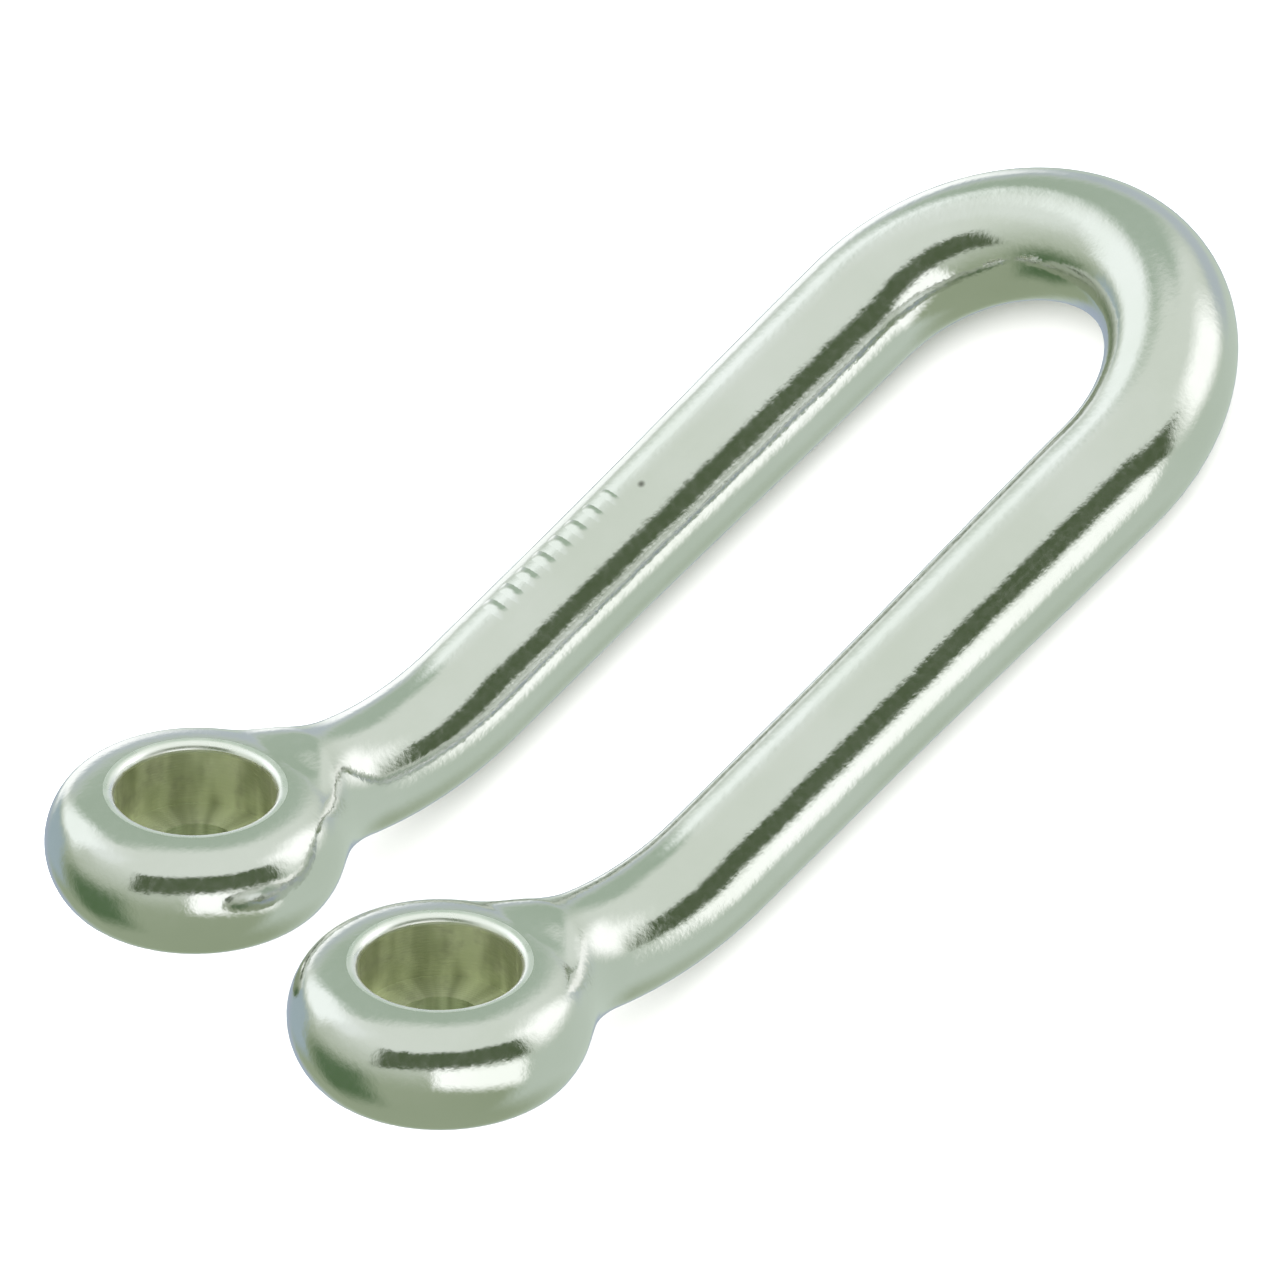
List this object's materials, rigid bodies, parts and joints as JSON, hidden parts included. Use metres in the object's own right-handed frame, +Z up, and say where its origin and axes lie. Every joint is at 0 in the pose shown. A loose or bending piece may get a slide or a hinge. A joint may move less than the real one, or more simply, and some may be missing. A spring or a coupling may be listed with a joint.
{
  "type": "dee shackle bow",
  "caption": "Long U of polished round bar with cranked ring eyes and turned bushes that take a bolt through each eye.",
  "frame": {"origin": "centre of the bounding box's bottom face, on the floor that the U lies on", "axes": "+X along the legs towards the crown; +Y across the U towards the far eye; +Z up, the side that the eyes are cranked to"},
  "size_m": [0.083, 0.045, 0.0196],
  "materials": {
    "polished_steel": "polished stainless forging, slightly uneven",
    "turned_steel": "fine turning marks, duller than the forging"
  },
  "bodies": {
    "root": {"bow": "polished_steel", "far_eye_bush": "turned_steel", "near_eye_bush": "turned_steel"}
  },
  "joints": []
}
